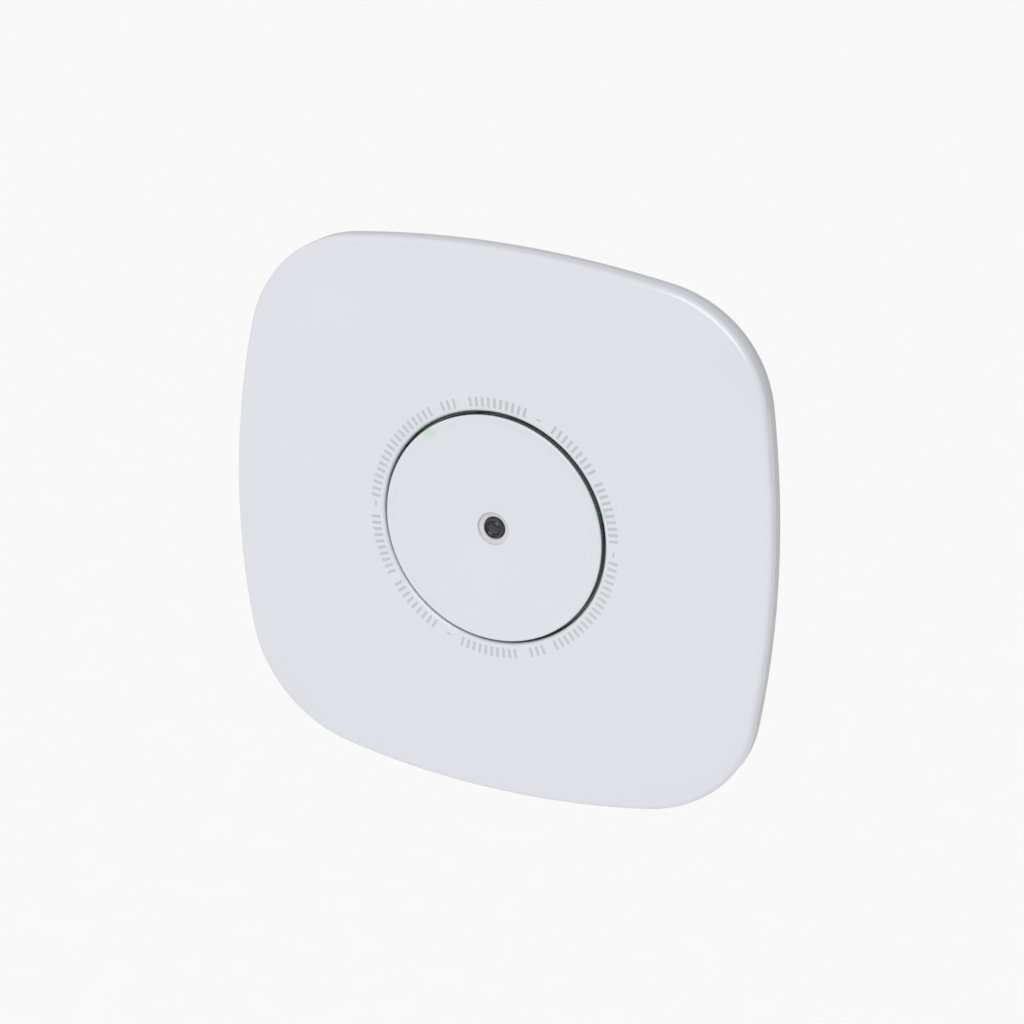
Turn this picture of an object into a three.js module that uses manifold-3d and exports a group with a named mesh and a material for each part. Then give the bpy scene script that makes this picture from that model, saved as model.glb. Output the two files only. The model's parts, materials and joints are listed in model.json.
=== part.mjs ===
// Wall-mounted smoke alarm with a square-round front cover, a large round test button and a bracket that
// it twists off. Lengths are millimetres. Each piece is modelled lying on its back: x to the right, y up the
// wall and z away from the wall. The group at the end turns the alarm upright: its front faces -Y and the
// wall is y = 0.
import * as THREE from "three";
import { mergeVertices } from "three/addons/utils/BufferGeometryUtils.js";
import Module from "manifold-3d";

const wasm = await Module();
wasm.setup();

// ---- Driving dimensions ----
const WIDTH = 150; // front cover, side to side
const HEIGHT = 146.3; // front cover, top to bottom
const FRONT = 37.6; // wall to the middle of the front cover
const DOME = 1.25; // how far the cover falls back by the middle of a side
const COVER = 2; // thickness of the front cover
const COVER_EDGE = 2.7; // depth of its turned-down edge
const RIM = 5.9; // depth of the rim: the cover's edge and the housing's flange behind it
const SIDE_ARC = 3.41; // radius of the four side arcs, in half-widths
const CORNER_ARC = 0.453; // radius of the four corner arcs, in half-widths
const OPENING = 30.8; // radius of the round opening for the button
const GAP = 0.3; // air between pieces that rest on each other
const WALL = 2; // thickness of the rear housing
const BACK = 2.8; // wall to the housing's back
const BACK_RADIUS = 55.5; // housing at the wall side
const FLANGE_REACH = 7; // how far the housing's flange stands out of its bowl
const TWIST = 18; // degrees from locked to released
const SCREW_CIRCLE = 49; // radius on which the housing screws stand
const HOOK_RADIUS = 40.3; // inside of the bracket's hooks
const BOARD = 8.2; // wall to the underside of the main board
const BOARD_THICKNESS = 1.6;
const BOARD_SCREW_CIRCLE = 36;
const LIGHT_BOARD = 29.9; // wall to the underside of the light board
const CELL_RADIUS = 8.5;
const CELL_LENGTH = 34.5;
const CELL_PLACE = 36; // middle of the alarm to the middle of a cell
const SLIDER_TRAVEL = 5;

const RINGS = 64; // points round the outline of the cover and the housing
const CORNER_CROWDING = 0.55; // how much closer those points stand at the corners, 0 for evenly spaced
const ROUND = 24; // sides of a large round piece
const SMALL = 12; // sides of a small round piece

const BOARD_TOP = BOARD + BOARD_THICKNESS;
const ON_BOARD = BOARD_TOP + GAP;
const LIGHT_TOP = LIGHT_BOARD + 1.2;
const ON_LIGHT = LIGHT_TOP + GAP;
const BUTTON_RIM = FRONT + 0.5;
const BUTTON_UNDER = FRONT - 1;
const BACK_INSIDE = BACK + 1.8;
const DIAGONALS = [45, 135, 225, 315];
const QUARTERS = [0, 90, 180, 270];
const LIGHTS = [15, 135, 255]; // where the light ring is lit
const LEGS = [75, 195, 315]; // the button's hooked legs, between the lights

// ---- Sizes of the pieces ----
const EDGE_ROUND = 1.3; // rounding of the front cover's edge
const OPENING_ROUND = 1; // rounding of the edge of its opening
const COLLAR = { inside: 31, outside: 32.6, ledge: 27.6, bottom: 29, ledgeTop: 30.4 };
const AIR_SLOT = { inside: 28.3, outside: 30.6, halfAngle: 4, step: 14 };
const COVER_POST = { radius: 3.4, pilot: 1.45, pilotTop: 20 };
const SCREW_POCKET = { radius: 4.6, head: 3.1, shelf: 5.7, top: 8.8, shank: 1.6 };
const STAND_OFF = { radius: 2.6, pilot: 1.35 };
const FLANGE = { inset: 0.15, chamfer: 0.4 };
const SIDE_VENT = { perSide: 9, spread: 60, width: 2.4, low: 18, high: 26 };
const PLATE = { radius: 54, thickness: 2.4, chamfer: 0.5 };
const POCKET = { count: 12, inside: 37.5, outside: 51.5, rib: 2.4, depth: 1.2 }; // in the plate's wall side
const HOOK = { halfAngle: 6, post: 2, lip: 4.5, under: 4.9, top: 6.3 };
const HOOK_PLAY = { along: 0.6, across: 0.4 }; // the angle and the gap left round a hook in its slot
const SCREW_SLOT = { circle: 30, width: 4.6, halfAngle: 14, head: 9.6, headAngle: 21 };
const WINDOW = { length: 42, width: 13, y: 24 };
const DISH = { face: FRONT + 0.15, inside: 27.5, crest: 28.8, outside: 29.4, under: FRONT - 0.6 };
const CAGE = { inside: 28.2, outside: 29.3, bottom: 34.4, top: FRONT - 0.9, ribs: 36, foot: 0.6, head: 0.3 };
const INLET_MESH = { inside: 27.5, outside: 27.9 };
const LENS = { radius: 1.95, bottom: 34, hole: 4.3, boss: 5.3, bossBottom: 35.1 };
const BEZEL = { bore: 2.25, lip: 2.6, radius: 2.8, top: FRONT - 0.1, flange: 5.2, flangeTop: 34.8 };
const SKIRT = { inside: 26, outside: 27.2, bottom: 34.4 };
const LEG = { foot: 27.4, toe: 28.4, toeHeight: 1.2, halfAngle: 10 };
const SPRING = { turns: 4, radius: 7, wire: 0.35, turnSteps: 12 };
const SWITCH = { x: 0, y: -13, half: 3, top: 34, bore: 2.1, plunger: 1.7 };
const LIGHT_RING = { inside: 29.7, outside: 30.7, bottom: 30.7, shoulder: 34.2, top: 34.8, edge: 0.3 };
const LIGHT_FINGER = { reach: 25.4, low: 31.4, high: 32.8, halfAngle: 4 };
const LED = { inside: 23.3, outside: 25.1, half: 1.5, height: 1.2 };
const CHAMBER = { radius: 19, base: ON_BOARD + 1.6, vanesTop: 22.6, vanes: 10, lid: 19.5, lidTop: 24.4 };
const VANE = { circle: 16, half: 0.5, outer: 3.6, inner: 2.8, bend: 40 };
const DIODE = { radius: 1.5, collar: 1.9, length: 6, nose: 12.8, height: 17.4 };
const HORN = { x: 33.5, radius: 12.5, wall: 1.2, floor: ON_BOARD + 1.2, seat: 17, top: 19 };
const HORN_CAP = { mouth: 2.2, height: 1.6, chamfer: 0.7 };
const HOLDER = { floor: ON_BOARD + 1, end: 18.8, outside: 20.2, wall: 0.8, window: 13, side: 16, rise: 4 };
const CELL_MIDDLE = HOLDER.floor + GAP + CELL_RADIUS;
const CONTACT = { thickness: 0.4, half: 4.5 };
const CAPACITOR = { x: 30, y: 20, radius: 3.2, height: 8 };
const COIL = { x: 30, y: -20, rim: 4, core: 3, height: 5.5, flange: 1 };
const SLIDER = { x: -4, y: 24, knob: 3, width: 2.8, plateX: 4.5, plateY: 3, plate: 1 };
const SLIDE_SWITCH = { half: 8, low: 21, high: 27 };
const LABEL = { half: 16.7, halfHeight: 5.2, y: -24, pocket: 0.5 };

const radians = THREE.MathUtils.degToRad;

// ---- Solids ----

// A closed mesh as a solid, turned right side out.
function solidOf(geometry) {
  const bare = geometry.clone();
  bare.deleteAttribute("normal");
  bare.deleteAttribute("uv");
  const merged = mergeVertices(bare, 1e-4);
  const vertProperties = merged.attributes.position.array;
  const triVerts = new Uint32Array(merged.index.array);
  const made = new wasm.Manifold(new wasm.Mesh({ numProp: 3, vertProperties, triVerts }));
  if (made.volume() > 0) {
    return made;
  }
  return new wasm.Manifold(new wasm.Mesh({ numProp: 3, vertProperties, triVerts: triVerts.reverse() }));
}

function join(first, ...others) {
  return others.reduce((sum, other) => sum.add(other), first);
}

function cut(body, ...tools) {
  return tools.reduce((left, tool) => left.subtract(tool), body);
}

function block(x0, x1, y0, y1, z0, z1) {
  const box = new THREE.BoxGeometry(x1 - x0, y1 - y0, z1 - z0);
  return solidOf(box.translate((x0 + x1) / 2, (y0 + y1) / 2, (z0 + z1) / 2));
}

function rod(radius, z0, z1, x = 0, y = 0, sides = SMALL) {
  const cylinder = new THREE.CylinderGeometry(radius, radius, z1 - z0, sides);
  return solidOf(cylinder.rotateX(Math.PI / 2).translate(x, y, (z0 + z1) / 2));
}

// A profile of [radius, z] pairs turned round z. It starts and ends on the axis, or closes on itself.
function turned(profile, sides = ROUND) {
  const points = profile.map(([radius, z]) => new THREE.Vector2(radius, z));
  return solidOf(new THREE.LatheGeometry(points, sides).rotateX(Math.PI / 2));
}

function tube(inner, outer, z0, z1, sides = ROUND) {
  return turned([[inner, z0], [outer, z0], [outer, z1], [inner, z1], [inner, z0]], sides);
}

// Part of a ring, between two angles in degrees.
function sector(inner, outer, from, to, z0, z1) {
  const shape = new THREE.Shape();
  shape.absarc(0, 0, outer, radians(from), radians(to), false);
  shape.absarc(0, 0, inner, radians(to), radians(from), true);
  const curveSegments = Math.max(2, Math.ceil((to - from) / 6));
  const extruded = new THREE.ExtrudeGeometry(shape, { depth: z1 - z0, bevelEnabled: false, curveSegments });
  return solidOf(extruded.translate(0, 0, z0));
}

// A slot with round ends, lying along x.
function slot(length, width, x, y, z0, z1) {
  const radius = width / 2;
  const reach = length / 2 - radius;
  const shape = new THREE.Shape();
  shape.absarc(reach, 0, radius, -Math.PI / 2, Math.PI / 2, false);
  shape.absarc(-reach, 0, radius, Math.PI / 2, Math.PI * 1.5, false);
  const settings = { depth: z1 - z0, bevelEnabled: false, curveSegments: 5 };
  return solidOf(new THREE.ExtrudeGeometry(shape, settings).translate(x, y, z0));
}

function about(degrees, solid) {
  return solid.rotate([0, 0, degrees]);
}

function onCircle(radius, degrees) {
  return [radius * Math.cos(radians(degrees)), radius * Math.sin(radians(degrees))];
}

// A skin through rings of points. The last ring meets the first, unless the ends are capped flat.
function loft(rings, capped) {
  const count = rings[0].length;
  const positions = rings.flat().flatMap((point) => [point.x, point.y, point.z]);
  const index = [];
  const spans = capped ? rings.length - 1 : rings.length;
  for (let ring = 0; ring < spans; ring += 1) {
    const next = (ring + 1) % rings.length;
    for (let side = 0; side < count; side += 1) {
      const after = (side + 1) % count;
      const [a, b] = [ring * count + side, ring * count + after];
      const [c, d] = [next * count + side, next * count + after];
      index.push(a, b, c, b, d, c);
    }
  }
  if (capped) {
    const [first, last] = [positions.length / 3, positions.length / 3 + 1];
    positions.push(0, 0, rings[0][0].z, 0, 0, rings.at(-1)[0].z);
    const lastRing = (rings.length - 1) * count;
    for (let side = 0; side < count; side += 1) {
      const after = (side + 1) % count;
      index.push(first, after, side, last, lastRing + side, lastRing + after);
    }
  }
  const geometry = new THREE.BufferGeometry();
  geometry.setAttribute("position", new THREE.Float32BufferAttribute(positions, 3));
  geometry.setIndex(index);
  return solidOf(geometry);
}

// ---- The square-round outline ----

// Where a side arc hands over to a corner arc, as an angle about the side arc's centre.
const HANDOVER = Math.PI / 4 + Math.asin((1 - SIDE_ARC) / (Math.SQRT2 * (SIDE_ARC - CORNER_ARC)));
const CORNER_CENTRE = (SIDE_ARC - CORNER_ARC) * Math.sin(HANDOVER);
const HANDOVER_POLAR = Math.atan2(
  SIDE_ARC * Math.sin(HANDOVER),
  1 - SIDE_ARC + SIDE_ARC * Math.cos(HANDOVER),
);

// Distance from the middle to the outline, in half-widths.
function outlineReach(angle) {
  const quarter = ((angle % (Math.PI / 2)) + Math.PI / 2) % (Math.PI / 2);
  const folded = Math.min(quarter, Math.PI / 2 - quarter);
  const [along, across] = [Math.cos(folded), Math.sin(folded)];
  if (folded < HANDOVER_POLAR) {
    return (1 - SIDE_ARC) * along + Math.sqrt(SIDE_ARC ** 2 - ((1 - SIDE_ARC) * across) ** 2);
  }
  const chord = Math.sqrt(CORNER_ARC ** 2 - (CORNER_CENTRE * (along - across)) ** 2);
  return CORNER_CENTRE * (along + across) + chord;
}

// Front surface of the cover above the point x, y.
function coverTop(x, y) {
  const reach = Math.hypot(x / (WIDTH / 2), y / (HEIGHT / 2));
  return FRONT - DOME * reach ** 6;
}

// A ring of points: at each angle, place gives [x, y] and height gives z.
function ring(place, height) {
  return Array.from({ length: RINGS }, (_, step) => {
    const even = (step / RINGS) * Math.PI * 2;
    const angle = even + (CORNER_CROWDING / 4) * Math.sin(4 * even);
    const [x, y] = place(angle);
    return new THREE.Vector3(x, y, height(x, y));
  });
}

function outlineAt(inset) {
  return (angle) => {
    const reach = outlineReach(angle);
    return [(WIDTH / 2 - inset) * reach * Math.cos(angle), (HEIGHT / 2 - inset) * reach * Math.sin(angle)];
  };
}

function circleAt(radius) {
  return (angle) => [radius * Math.cos(angle), radius * Math.sin(angle)];
}

// A place between two others: share 0 is the first, 1 the second.
function between(first, second, share) {
  return (angle) => {
    const [x0, y0] = first(angle);
    const [x1, y1] = second(angle);
    return [x0 + (x1 - x0) * share, y0 + (y1 - y0) * share];
  };
}

function below(drop) {
  return (x, y) => coverTop(x, y) - drop;
}

function level(z) {
  return () => z;
}

// ---- Casing ----

function frontCover() {
  const edge = outlineAt(EDGE_ROUND);
  const turn = EDGE_ROUND * (1 - Math.SQRT1_2);
  const opening = circleAt(OPENING);
  const face = circleAt(OPENING + OPENING_ROUND);
  const topRings = [0, 0.45, 0.8, 1].map((share) => ring(between(face, edge, share), below(0)));
  const collar = circleAt(COLLAR.outside);
  const skin = loft([
    ...topRings,
    ring(outlineAt(turn), below(turn)),
    ring(outlineAt(0), below(EDGE_ROUND)),
    ring(outlineAt(0), below(COVER_EDGE)),
    ring(outlineAt(COVER), below(COVER_EDGE)),
    ring(outlineAt(COVER + 0.5), below(COVER)),
    ring(between(collar, outlineAt(0), 0.6), below(COVER)),
    ring(collar, below(COVER)),
    ring(collar, level(COLLAR.bottom)),
    ring(circleAt(COLLAR.ledge), level(COLLAR.bottom)),
    ring(circleAt(COLLAR.ledge), level(COLLAR.ledgeTop)),
    ring(circleAt(COLLAR.inside), level(COLLAR.ledgeTop)),
    ring(circleAt(COLLAR.inside), level(FRONT - COVER - 0.4)),
    ring(opening, level(FRONT - COVER)),
    ring(opening, level(FRONT - OPENING_ROUND)),
    ring(circleAt(OPENING + OPENING_ROUND * 0.3), level(FRONT - OPENING_ROUND * 0.3)),
  ], false);
  const posts = DIAGONALS.map((degrees) => {
    const [x, y] = onCircle(SCREW_CIRCLE, degrees);
    const post = rod(COVER_POST.radius, SCREW_POCKET.top + GAP, FRONT - COVER, x, y);
    return cut(post, rod(COVER_POST.pilot, SCREW_POCKET.top, COVER_POST.pilotTop, x, y, 8));
  });
  const airSlots = QUARTERS.flatMap((quarter) => [-1, 0, 1].map((side) => {
    const middle = quarter + side * AIR_SLOT.step;
    const [from, to] = [middle - AIR_SLOT.halfAngle, middle + AIR_SLOT.halfAngle];
    return sector(AIR_SLOT.inside, AIR_SLOT.outside, from, to, COLLAR.bottom - 1, COLLAR.ledgeTop + 1);
  }));
  return cut(join(skin, ...posts), ...airSlots);
}

// The bowl's outer surface: round at the back, square-round at the flange.
function bowlAt(share, inset) {
  const eased = 1 - (1 - share) ** 1.6;
  return between(circleAt(BACK_RADIUS - inset), outlineAt(FLANGE_REACH + inset), eased);
}

function bowlRing(share, inset, floor) {
  const place = bowlAt(share, inset);
  return ring(place, (x, y) => floor + (coverTop(x, y) - RIM - floor) * share);
}

function rearHousing() {
  const flangeTop = below(COVER_EDGE + GAP);
  const shares = [0, 0.3, 0.65, 1];
  const shell = loft([
    ring(circleAt(BACK_RADIUS - 1.2), level(BACK)),
    ring(circleAt(BACK_RADIUS - 0.3), level(BACK + 0.4)),
    ...shares.map((share) => bowlRing(share, 0, BACK + 1.2)),
    ring(outlineAt(FLANGE.inset + FLANGE.chamfer), below(RIM)),
    ring(outlineAt(FLANGE.inset), below(RIM - FLANGE.chamfer)),
    ring(outlineAt(FLANGE.inset), flangeTop),
    ring(outlineAt(FLANGE_REACH + WALL), flangeTop),
    ...shares.slice(1, -1).reverse().map((share) => bowlRing(share, WALL, BACK_INSIDE)),
    ring(circleAt(BACK_RADIUS - WALL), level(BACK_INSIDE)),
  ], true);
  const pockets = DIAGONALS.map((degrees) => {
    const [x, y] = onCircle(SCREW_CIRCLE, degrees);
    return rod(SCREW_POCKET.radius, BACK + 0.5, SCREW_POCKET.top, x, y);
  });
  const pocketHoles = DIAGONALS.flatMap((degrees) => {
    const [x, y] = onCircle(SCREW_CIRCLE, degrees);
    return [
      rod(SCREW_POCKET.head, BACK - 1, SCREW_POCKET.shelf, x, y),
      rod(SCREW_POCKET.shank, BACK, SCREW_POCKET.top + 1, x, y, 8),
    ];
  });
  const standOffs = DIAGONALS.map((degrees) => {
    const [x, y] = onCircle(BOARD_SCREW_CIRCLE, degrees);
    const post = rod(STAND_OFF.radius, BACK_INSIDE - 0.5, BOARD - GAP, x, y);
    return cut(post, rod(STAND_OFF.pilot, BACK_INSIDE + 0.4, BOARD, x, y, 8));
  });
  const sliderSlot = slot(SLIDER.knob + SLIDER_TRAVEL + 2 * GAP, SLIDER.width + 2 * GAP,
    SLIDER.x + SLIDER_TRAVEL / 2, SLIDER.y, BACK - 1, BACK_INSIDE + 1);
  const [labelX, labelY] = [LABEL.half + GAP, LABEL.halfHeight + GAP];
  const pocketTop = BACK + LABEL.pocket;
  const labelPocket = block(-labelX, labelX, LABEL.y - labelY, LABEL.y + labelY, BACK - 1, pocketTop);
  return cut(
    join(shell, ...pockets, ...standOffs),
    ...pocketHoles,
    ...QUARTERS.flatMap(hookSlots),
    ...sideVents(),
    sliderSlot,
    labelPocket,
  );
}

// The slot in the housing's back for one hook: wide where the hook enters, narrow where it locks.
function hookSlots(degrees) {
  const half = HOOK.halfAngle + HOOK_PLAY.along;
  const [low, high] = [BACK - 1, BACK_INSIDE + 1];
  const [inner, outer] = [HOOK_RADIUS - HOOK_PLAY.across, HOOK_RADIUS + HOOK.post + HOOK_PLAY.across];
  const mouth = HOOK_RADIUS + HOOK.lip + HOOK_PLAY.across;
  const entered = degrees - TWIST;
  return [
    sector(inner, outer, entered - half, degrees + half, low, high),
    sector(inner, mouth, entered - half, entered + half, low, high),
  ];
}

function sideVents() {
  const { perSide, spread, width, low, high } = SIDE_VENT;
  const vent = block(BACK_RADIUS - 5, WIDTH, -width / 2, width / 2, low, high);
  return QUARTERS.flatMap((quarter) => Array.from({ length: perSide }, (_, step) =>
    about(quarter + (step / (perSide - 1) - 0.5) * spread, vent)));
}

// ---- Bracket ----

function mountingBracket() {
  const plate = turned([
    [0, 0], [PLATE.radius - PLATE.chamfer, 0], [PLATE.radius, PLATE.chamfer],
    [PLATE.radius, PLATE.thickness], [0, PLATE.thickness],
  ], 48);
  const hooks = QUARTERS.map((degrees) => {
    const [from, to] = [degrees - HOOK.halfAngle, degrees + HOOK.halfAngle];
    const post = sector(HOOK_RADIUS, HOOK_RADIUS + HOOK.post, from, to, 1, HOOK.top);
    const lip = sector(HOOK_RADIUS, HOOK_RADIUS + HOOK.lip, from, to, HOOK.under, HOOK.top);
    return join(post, lip);
  });
  const [low, high] = [-1, PLATE.thickness + 1];
  const screwSlots = [0, 180].flatMap((degrees) => {
    const { circle, width, halfAngle, head, headAngle } = SCREW_SLOT;
    const [from, to] = [degrees - halfAngle, degrees + headAngle];
    return [
      sector(circle - width / 2, circle + width / 2, from, to, low, high),
      rod(head / 2, low, high, ...onCircle(circle, to)),
      rod(width / 2, low, high, ...onCircle(circle, from)),
    ];
  });
  const windows = [WINDOW.y, -WINDOW.y].map((y) => slot(WINDOW.length, WINDOW.width, 0, y, low, high));
  const pockets = Array.from({ length: POCKET.count }, (_, step) => {
    const middle = ((step + 0.5) * 360) / POCKET.count;
    const half = 180 / POCKET.count - THREE.MathUtils.radToDeg(POCKET.rib / 2 / POCKET.inside);
    return sector(POCKET.inside, POCKET.outside, middle - half, middle + half, low, POCKET.depth);
  });
  return cut(join(plate, ...hooks), ...screwSlots, ...windows, ...pockets);
}

// ---- Test button ----

function buttonCap() {
  const cap = turned([
    [LENS.hole, LENS.bossBottom],
    [LENS.hole, DISH.face],
    [DISH.inside, DISH.face],
    [DISH.crest, BUTTON_RIM],
    [DISH.outside - 0.2, BUTTON_RIM - 0.1],
    [DISH.outside, BUTTON_RIM - 0.5],
    [DISH.outside, DISH.under],
    [SKIRT.outside, DISH.under],
    [SKIRT.outside, SKIRT.bottom],
    [SKIRT.inside, SKIRT.bottom],
    [SKIRT.inside, BUTTON_UNDER],
    [LENS.boss, BUTTON_UNDER],
    [LENS.boss, LENS.bossBottom],
    [LENS.hole, LENS.bossBottom],
  ], 48);
  const legs = LEGS.map((degrees) => {
    const { foot, toe, toeHeight, halfAngle } = LEG;
    const [from, to] = [degrees - halfAngle, degrees + halfAngle];
    const leg = sector(SKIRT.inside, SKIRT.outside, from, to, foot, SKIRT.bottom + 0.5);
    return join(leg, sector(SKIRT.inside, toe, from, to, foot, foot + toeHeight));
  });
  return join(cap, ...legs);
}

// The ribbed ring under the button's lip: smoke passes in and sound out between its ribs.
function buttonGrille() {
  const { inside, outside, bottom, top, ribs, foot, head } = CAGE;
  const half = (Math.PI * outside) / ribs / 2;
  const opening = block(inside - 1, outside + 1, -half, half, bottom + foot, top - head);
  const openings = Array.from({ length: ribs }, (_, step) => about((step / ribs) * 360, opening));
  return cut(tube(inside, outside, bottom, top, ribs), ...openings);
}

function inletMesh() {
  return tube(INLET_MESH.inside, INLET_MESH.outside, CAGE.bottom + 0.2, CAGE.top - 0.2);
}

function lensBezel() {
  const { bore, lip, radius, top, flange, flangeTop } = BEZEL;
  return turned([
    [bore, LENS.bottom], [flange, LENS.bottom], [flange, flangeTop], [radius, flangeTop],
    [radius, top - 0.3], [lip, top], [bore, top], [bore, LENS.bottom],
  ]);
}

function statusLens() {
  const { radius, bottom } = LENS;
  return turned([
    [0, bottom + 0.4], [radius, bottom + 0.4], [radius, BEZEL.top - 0.4],
    [radius * 0.6, BEZEL.top - 0.1], [0, BEZEL.top],
  ]);
}

function buttonSpring() {
  const { turns, radius, wire, turnSteps } = SPRING;
  const [low, high] = [ON_LIGHT + wire, BUTTON_UNDER - GAP - wire];
  const steps = turns * turnSteps;
  const points = Array.from({ length: steps + 1 }, (_, step) => {
    const [x, y] = onCircle(radius, (step / turnSteps) * 360);
    return new THREE.Vector3(x, y, low + ((high - low) * step) / steps);
  });
  const section = new THREE.Shape();
  section.absarc(0, 0, wire, 0, Math.PI * 2, false);
  const extrudePath = new THREE.CatmullRomCurve3(points);
  const settings = { steps, extrudePath, bevelEnabled: false, curveSegments: 3 };
  return solidOf(new THREE.ExtrudeGeometry(section, settings));
}

function switchBody() {
  const { x, y, half, top } = SWITCH;
  const body = block(x - half, x + half, y - half, y + half, ON_LIGHT, top);
  return cut(body, rod(SWITCH.bore, ON_LIGHT + 0.6, top + 1, x, y));
}

function switchPlunger() {
  return rod(SWITCH.plunger, SWITCH.top + GAP, BUTTON_UNDER - GAP, SWITCH.x, SWITCH.y);
}

// ---- Light ring and light board ----

// The ring stands in the cover's collar; a finger reaches in from it to each light.
function lightGuideRing() {
  const { inside, outside, bottom, shoulder, top, edge } = LIGHT_RING;
  const { reach, low, high, halfAngle } = LIGHT_FINGER;
  const band = turned([
    [inside, bottom], [outside, bottom], [outside, shoulder], [outside - edge, shoulder + edge],
    [outside - edge, top], [inside + edge, top], [inside + edge, shoulder + edge], [inside, shoulder],
    [inside, bottom],
  ], 48);
  const fingers = LIGHTS.map((degrees) =>
    sector(reach, inside + 0.5, degrees - halfAngle, degrees + halfAngle, low, high));
  return join(band, ...fingers);
}

function lightBoard() {
  return rod(25.2, LIGHT_BOARD, LIGHT_TOP, 0, 0, ROUND);
}

function statusLed(degrees) {
  return about(degrees, block(LED.inside, LED.outside, -LED.half, LED.half, ON_LIGHT, ON_LIGHT + LED.height));
}

function lightSensor() {
  return block(-1.6, 1.6, -1.6, 1.6, ON_LIGHT, ON_LIGHT + 1);
}

function boardLink() {
  return block(-23.4, -21.6, -4, 4, ON_BOARD, LIGHT_BOARD - GAP);
}

// ---- Smoke chamber ----

function chamberBase() {
  const base = rod(CHAMBER.radius, ON_BOARD, CHAMBER.base, 0, 0, ROUND);
  return join(base, tube(6, 7, CHAMBER.base - 0.2, CHAMBER.base + 1.4, 24));
}

// Bent vanes that let smoke round the corner but keep light out.
function chamberLabyrinth() {
  const floor = CHAMBER.base + GAP;
  const foot = tube(VANE.circle - 2.4, VANE.circle + 2.6, floor, floor + 0.8);
  const { circle, half, bend } = VANE;
  const [low, high] = [floor + 0.4, CHAMBER.vanesTop];
  const outer = about(bend, block(-half, half, 0, VANE.outer, low, high));
  const inner = about(-bend, block(-half, half, -VANE.inner, 0.4, low, high));
  const vane = join(outer, inner).translate([circle, 0, 0]);
  const vanes = Array.from({ length: CHAMBER.vanes }, (_, step) => about((step / CHAMBER.vanes) * 360, vane));
  return join(foot, ...vanes);
}

function chamberLid() {
  const low = CHAMBER.vanesTop + GAP;
  const { lid, lidTop } = CHAMBER;
  return turned([[0, low], [lid, low], [lid, low + 0.8], [lid - 0.8, lidTop], [0, lidTop]]);
}

function chamberMesh() {
  const inside = CHAMBER.lid + 0.4;
  return tube(inside, inside + 0.4, ON_BOARD + GAP, CHAMBER.lidTop - 0.2);
}

function foamGasket() {
  return tube(8, 13, CHAMBER.lidTop + GAP, LIGHT_BOARD - GAP);
}

// A small round-nosed diode lying on its side, its nose towards the middle of the chamber.
function chamberDiode(degrees) {
  const { radius, collar, length, nose, height } = DIODE;
  const body = turned([
    [0, 0], [collar, 0], [collar, 1], [radius, 1],
    [radius, length - 1.6], [radius * 0.6, length - 0.4], [0, length],
  ], SMALL);
  return about(degrees, body.rotate([0, -90, 0]).translate([nose, 0, height]));
}

// ---- Horn ----

function hornBody() {
  const { x, radius, wall, floor, seat, top } = HORN;
  return turned([
    [0, ON_BOARD], [radius, ON_BOARD], [radius, top], [radius - wall, top],
    [radius - wall, seat], [radius - 2 * wall, seat], [radius - 2 * wall, floor], [0, floor],
  ]).translate([x, 0, 0]);
}

function piezoDisc() {
  const low = HORN.seat + GAP;
  return rod(HORN.radius - HORN.wall - GAP, low, low + 0.4, HORN.x, 0, ROUND);
}

function hornCap() {
  const { mouth, height, chamfer } = HORN_CAP;
  const low = HORN.top + GAP;
  const high = low + height;
  return turned([
    [mouth, low], [HORN.radius, low], [HORN.radius, high - chamfer], [HORN.radius - chamfer, high],
    [mouth, high], [mouth, low],
  ]).translate([HORN.x, 0, 0]);
}

// ---- Batteries ----

// A cell lies along x, with a small raised terminal at its +x end.
function batteryCell(y) {
  const end = CELL_LENGTH / 2;
  const profile = [
    [0, -end], [CELL_RADIUS - 0.5, -end], [CELL_RADIUS, -end + 0.5], [CELL_RADIUS, end - 1.3],
    [CELL_RADIUS - 0.5, end - 0.8], [3.2, end - 0.8], [3.2, end], [0, end],
  ];
  return turned(profile).rotate([0, 90, 0]).translate([0, y, CELL_MIDDLE]);
}

function batteryHolder(y) {
  const reach = CELL_RADIUS + GAP;
  const side = reach + HOLDER.wall;
  const { end, outside, window, floor } = HOLDER;
  const top = CELL_MIDDLE + HOLDER.rise;
  const tray = block(-outside, outside, y - side, y + side, ON_BOARD, top);
  const cellSpace = block(-end, end, y - reach, y + reach, floor, top + 1);
  const sideWindow = block(-window, window, y - side - 1, y + side + 1, HOLDER.side, top + 1);
  return cut(tray, cellSpace, sideWindow);
}

function batteryContact(y, side) {
  const inner = CELL_LENGTH / 2 + GAP;
  const edges = [side * inner, side * (inner + CONTACT.thickness)].sort((a, b) => a - b);
  return block(...edges, y - CONTACT.half, y + CONTACT.half, HOLDER.floor + GAP, CELL_MIDDLE + 6);
}

// ---- Main board and what stands on it ----

function mainBoard() {
  const board = rod(43.5, BOARD, BOARD_TOP, 0, 0, 40);
  const holes = DIAGONALS.map((degrees) => {
    const [x, y] = onCircle(BOARD_SCREW_CIRCLE, degrees);
    return rod(1.4, BOARD - 1, BOARD_TOP + 1, x, y, 8);
  });
  return cut(board, ...holes);
}

function capacitor() {
  const { x, y, radius, height } = CAPACITOR;
  const top = ON_BOARD + height;
  return turned([
    [0, ON_BOARD], [radius, ON_BOARD], [radius, top - 0.4], [radius - 0.5, top], [0, top],
  ], SMALL).translate([x, y, 0]);
}

function hornCoil() {
  const { x, y, rim, core, height, flange } = COIL;
  const [low, high] = [ON_BOARD, ON_BOARD + height];
  return turned([
    [0, low], [rim, low], [rim, low + flange], [core, low + flange + 0.3],
    [core, high - flange - 0.3], [rim, high - flange], [rim, high], [0, high],
  ], SMALL).translate([x, y, 0]);
}

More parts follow.
